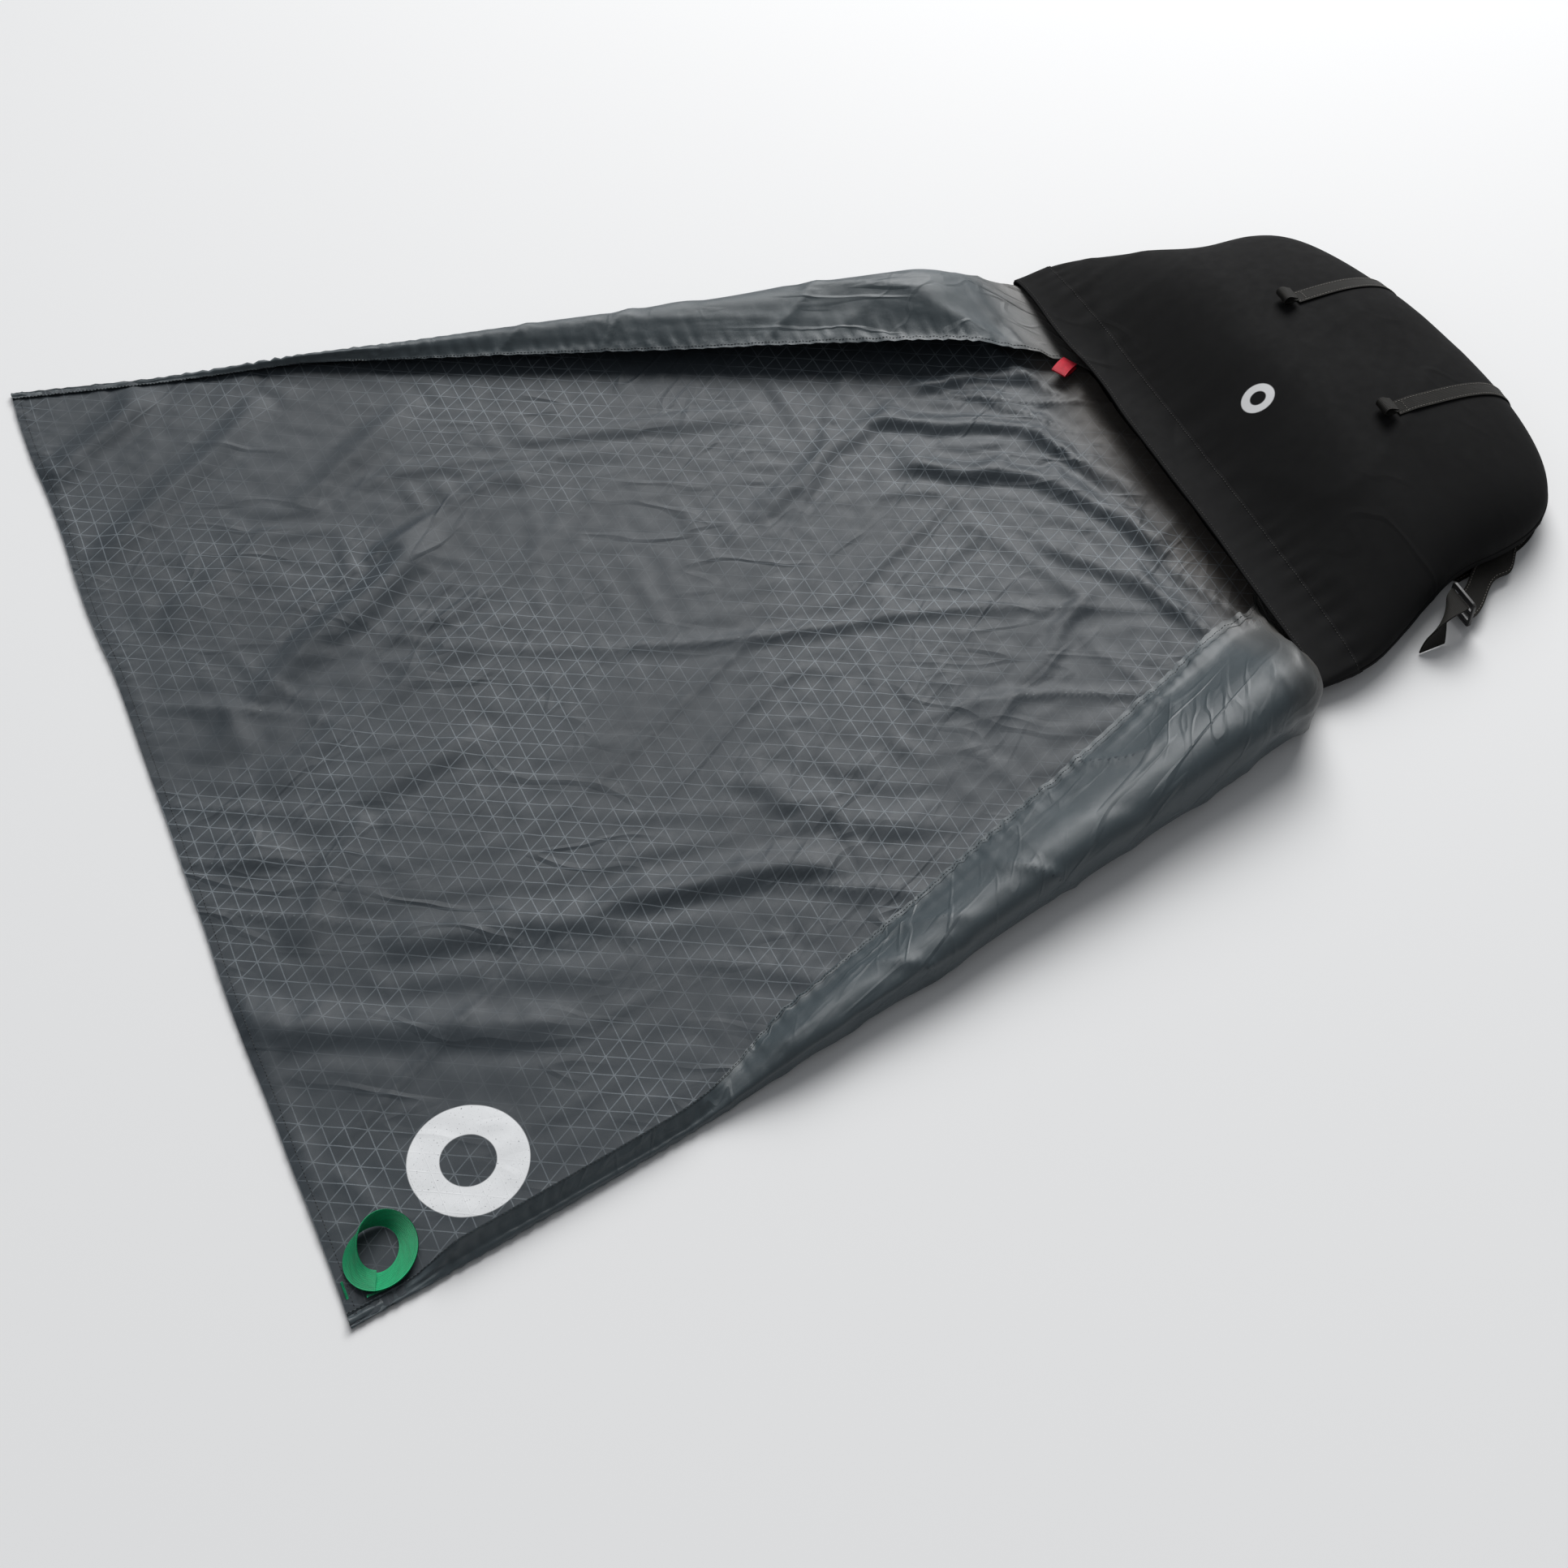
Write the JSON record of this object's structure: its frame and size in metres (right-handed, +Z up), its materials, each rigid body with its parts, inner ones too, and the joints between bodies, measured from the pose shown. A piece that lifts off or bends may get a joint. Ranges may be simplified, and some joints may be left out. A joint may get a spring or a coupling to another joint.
{
  "type": "rope storage bag",
  "caption": "Round-ended rope sack laid open, its mouth running out into a wide trapezoid tarp with folded side wings, tie-in loops and an adjustable strap.",
  "frame": {"origin": "on the ground under the middle of the bounding box", "axes": "+X from the tarp's far edge to the sack's closed end, +Y across the tarp, +Z up"},
  "size_m": [1.2145, 1.01, 0.0941],
  "materials": {
    "tarp_inside": "coated slate polyester with a fine pale triangle grid",
    "tarp_outside": "shiny slate taffeta, uncoated side",
    "sack_cloth": "matte black plain weave",
    "webbing_black": "brown-black ribbed webbing",
    "webbing_green": "green ribbed webbing and thread",
    "webbing_red": "red ribbed webbing",
    "buckle_plastic": "black moulded nylon"
  },
  "bodies": {
    "sack": {"base_panel": "sack_cloth", "hood_panel": "sack_cloth", "mouth_band": "sack_cloth", "side_gusset": "sack_cloth", "gusset_facing_near": "sack_cloth", "gusset_facing_far": "sack_cloth", "webbing_strip_near": "webbing_black", "webbing_strip_far": "webbing_black", "shoulder_strap": "webbing_black", "strap_anchor_far": "webbing_black", "buckle_anchor": "webbing_black", "tarp_floor_throat": "tarp_inside", "near_wing_throat": "tarp_outside", "near_hem_throat": "tarp_outside", "far_wing_throat": "tarp_outside", "far_hem_throat": "tarp_outside"},
    "tarp_inner": {"tarp_floor_inner": "tarp_inside", "near_wing_inner": "tarp_outside", "near_hem_inner": "tarp_outside", "far_wing_inner": "tarp_outside", "far_hem_inner": "tarp_outside"},
    "tarp_outer": {"tarp_floor_outer": "tarp_inside", "near_wing_outer": "tarp_outside", "near_hem_outer": "tarp_outside", "far_wing_outer": "tarp_outside", "far_hem_outer": "tarp_outside", "far_edge_hem": "tarp_inside", "bar_tack_green_edge": "webbing_green", "bar_tack_green_end": "webbing_green"},
    "green_loop": {"green_tie_in_loop": "webbing_green"},
    "red_loop": {"red_tie_in_loop": "webbing_red"},
    "loop_near": {"strip_loop_near": "webbing_black"},
    "loop_far": {"strip_loop_far": "webbing_black"},
    "buckle": {"ladder_lock": "buckle_plastic"},
    "tail": {"strap_tail": "webbing_black"}
  },
  "joints": [
    {"name": "tarp_lift", "type": "hinge", "parent": "sack", "child": "tarp_inner", "pos_m": [0.23275, -0.045, 0.00125], "axis": [0, 1, 0], "range_deg": [0, 45]},
    {"name": "tarp_fold", "type": "hinge", "parent": "tarp_inner", "child": "tarp_outer", "pos_m": [-0.24725, 0, 0.03], "axis": [0, 1, 0], "range_deg": [0, 170]},
    {"name": "green_loop_flop", "type": "hinge", "parent": "tarp_outer", "child": "green_loop", "pos_m": [-0.58325, -0.478, 0.014], "axis": [0.9439, -0.3304, 0], "range_deg": [0, 110]},
    {"name": "red_loop_flop", "type": "hinge", "parent": "sack", "child": "red_loop", "pos_m": [0.28825, 0.112, 0.013], "axis": [-0.4311, 0.9023, 0], "range_deg": [0, 32]},
    {"name": "loop_near_flop", "type": "hinge", "parent": "sack", "child": "loop_near", "pos_m": [0.4745, -0.12309, 0.08525], "axis": [0, 1, 0], "range_deg": [0, 30]},
    {"name": "loop_far_flop", "type": "hinge", "parent": "sack", "child": "loop_far", "pos_m": [0.47097, 0.03309, 0.08525], "axis": [0, 1, 0], "range_deg": [0, 30]},
    {"name": "buckle_tilt", "type": "hinge", "parent": "sack", "child": "buckle", "pos_m": [0.44475, -0.2915, 0.012], "axis": [0, 1, 0], "range_deg": [0, 35]},
    {"name": "tail_flop", "type": "hinge", "parent": "buckle", "child": "tail", "pos_m": [0.44145, -0.2915, 0.0262], "axis": [0, 1, 0], "range_deg": [0, 60]}
  ]
}
